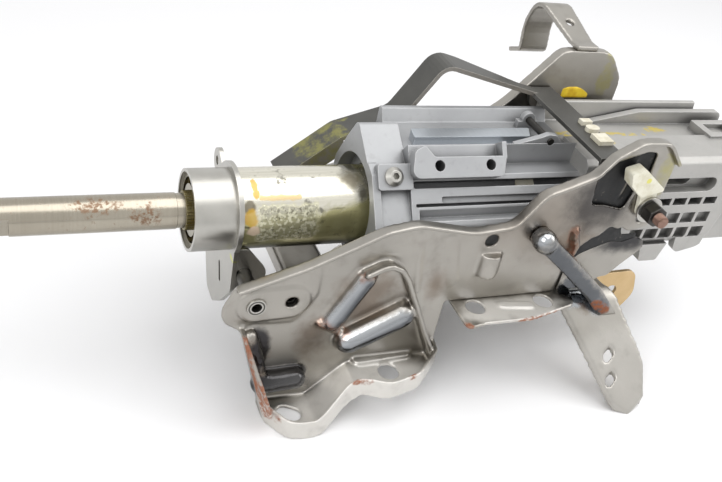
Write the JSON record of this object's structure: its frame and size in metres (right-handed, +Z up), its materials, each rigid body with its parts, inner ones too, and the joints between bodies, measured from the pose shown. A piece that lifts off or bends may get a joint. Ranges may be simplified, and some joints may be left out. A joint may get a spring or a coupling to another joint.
{
  "type": "steering column",
  "caption": "Tilt and reach adjustable steering column: cast housings sliding on a jacket tube in a pressed steel console, with splined shafts, ball bearings, clamp bolt and release lever.",
  "frame": {"origin": "on the steering axis, on the plain journal of the lower shaft, 115 mm above the floor the feet stand on", "axes": "+X along the steering axis towards the wheel, +Z up from the floor as it lies on its feet, Y across"},
  "size_m": [0.618, 0.2342, 0.2171],
  "materials": {
    "pressed_steel": "bare pressed steel, satin, with heat tint and rust at the welds",
    "zinc_steel": "satin zinc plated steel",
    "yellow_zinc": "yellow passivated zinc over bright steel",
    "cast_aluminium": "as-cast, fine grain",
    "shaft_steel": "turned steel with light surface rust",
    "bearing_steel": "ground and polished",
    "ring_steel": "olive, oiled",
    "lever_steel": "dark phosphate with bright cut edges",
    "dark_steel": "black oxide",
    "copper_steel": "coppery threaded stud",
    "white_plastic": "cream moulded plastic",
    "key_block": "pale sintered block",
    "blue_strip": "bright ground slideway"
  },
  "bodies": {
    "console": {"near_wall": "pressed_steel", "far_wall": "pressed_steel", "base_plate": "pressed_steel", "front_bridge": "pressed_steel", "near_foot": "pressed_steel", "far_foot": "pressed_steel", "rivet_nut": "dark_steel", "wall_stiffener": "pressed_steel", "rear_saddle": "pressed_steel", "brace_rod": "pressed_steel", "hoop_strap": "pressed_steel", "stay_plate": "yellow_zinc", "pivot_tube": "zinc_steel"},
    "lower_jacket": {"jacket_tube": "yellow_zinc", "pivot_flange": "zinc_steel", "bearing_cup": "zinc_steel", "lower_outer_race": "bearing_steel", "lower_balls": "bearing_steel", "clamp_bolt": "copper_steel", "clamp_nut": "dark_steel", "clamp_washers": "zinc_steel", "tilt_slider": "key_block"},
    "upper_column": {"slide_housing": "cast_aluminium", "upper_housing": "cast_aluminium", "slide_strip": "blue_strip", "housing_screw": "zinc_steel", "stop_pin": "dark_steel", "guide_bushes": "white_plastic", "upper_outer_race": "bearing_steel", "upper_balls": "bearing_steel"},
    "lower_spindle": {"lower_shaft": "shaft_steel", "tolerance_ring": "ring_steel", "lower_inner_race": "bearing_steel"},
    "upper_spindle": {"upper_shaft": "shaft_steel", "upper_inner_race": "bearing_steel"},
    "lever": {"release_lever": "lever_steel", "lever_clip": "white_plastic"}
  },
  "joints": [
    {"name": "tilt", "type": "hinge", "parent": "console", "child": "lower_jacket", "pos_m": [0.088, 0, -0.033], "axis": [0, 1, 0], "range_deg": [-2, 2]},
    {"name": "reach", "type": "slide", "parent": "lower_jacket", "child": "upper_column", "axis": [1, 0, 0], "range_m": [-0.025, 0.025]},
    {"name": "lower_spin", "type": "hinge", "parent": "lower_jacket", "child": "lower_spindle", "pos_m": [0, 0, 0], "axis": [1, 0, 0], "continuous": true},
    {"name": "upper_spin", "type": "hinge", "parent": "upper_column", "child": "upper_spindle", "pos_m": [0.46, 0, 0], "axis": [1, 0, 0], "continuous": true},
    {"name": "lever_swing", "type": "hinge", "parent": "lower_jacket", "child": "lever", "pos_m": [0.348, 0, 0.025], "axis": [0, 1, 0], "range_deg": [0, 45]}
  ],
  "couplings": [
    {"joint": "lower_spin", "follows": "upper_spin", "ratio": 1}
  ]
}
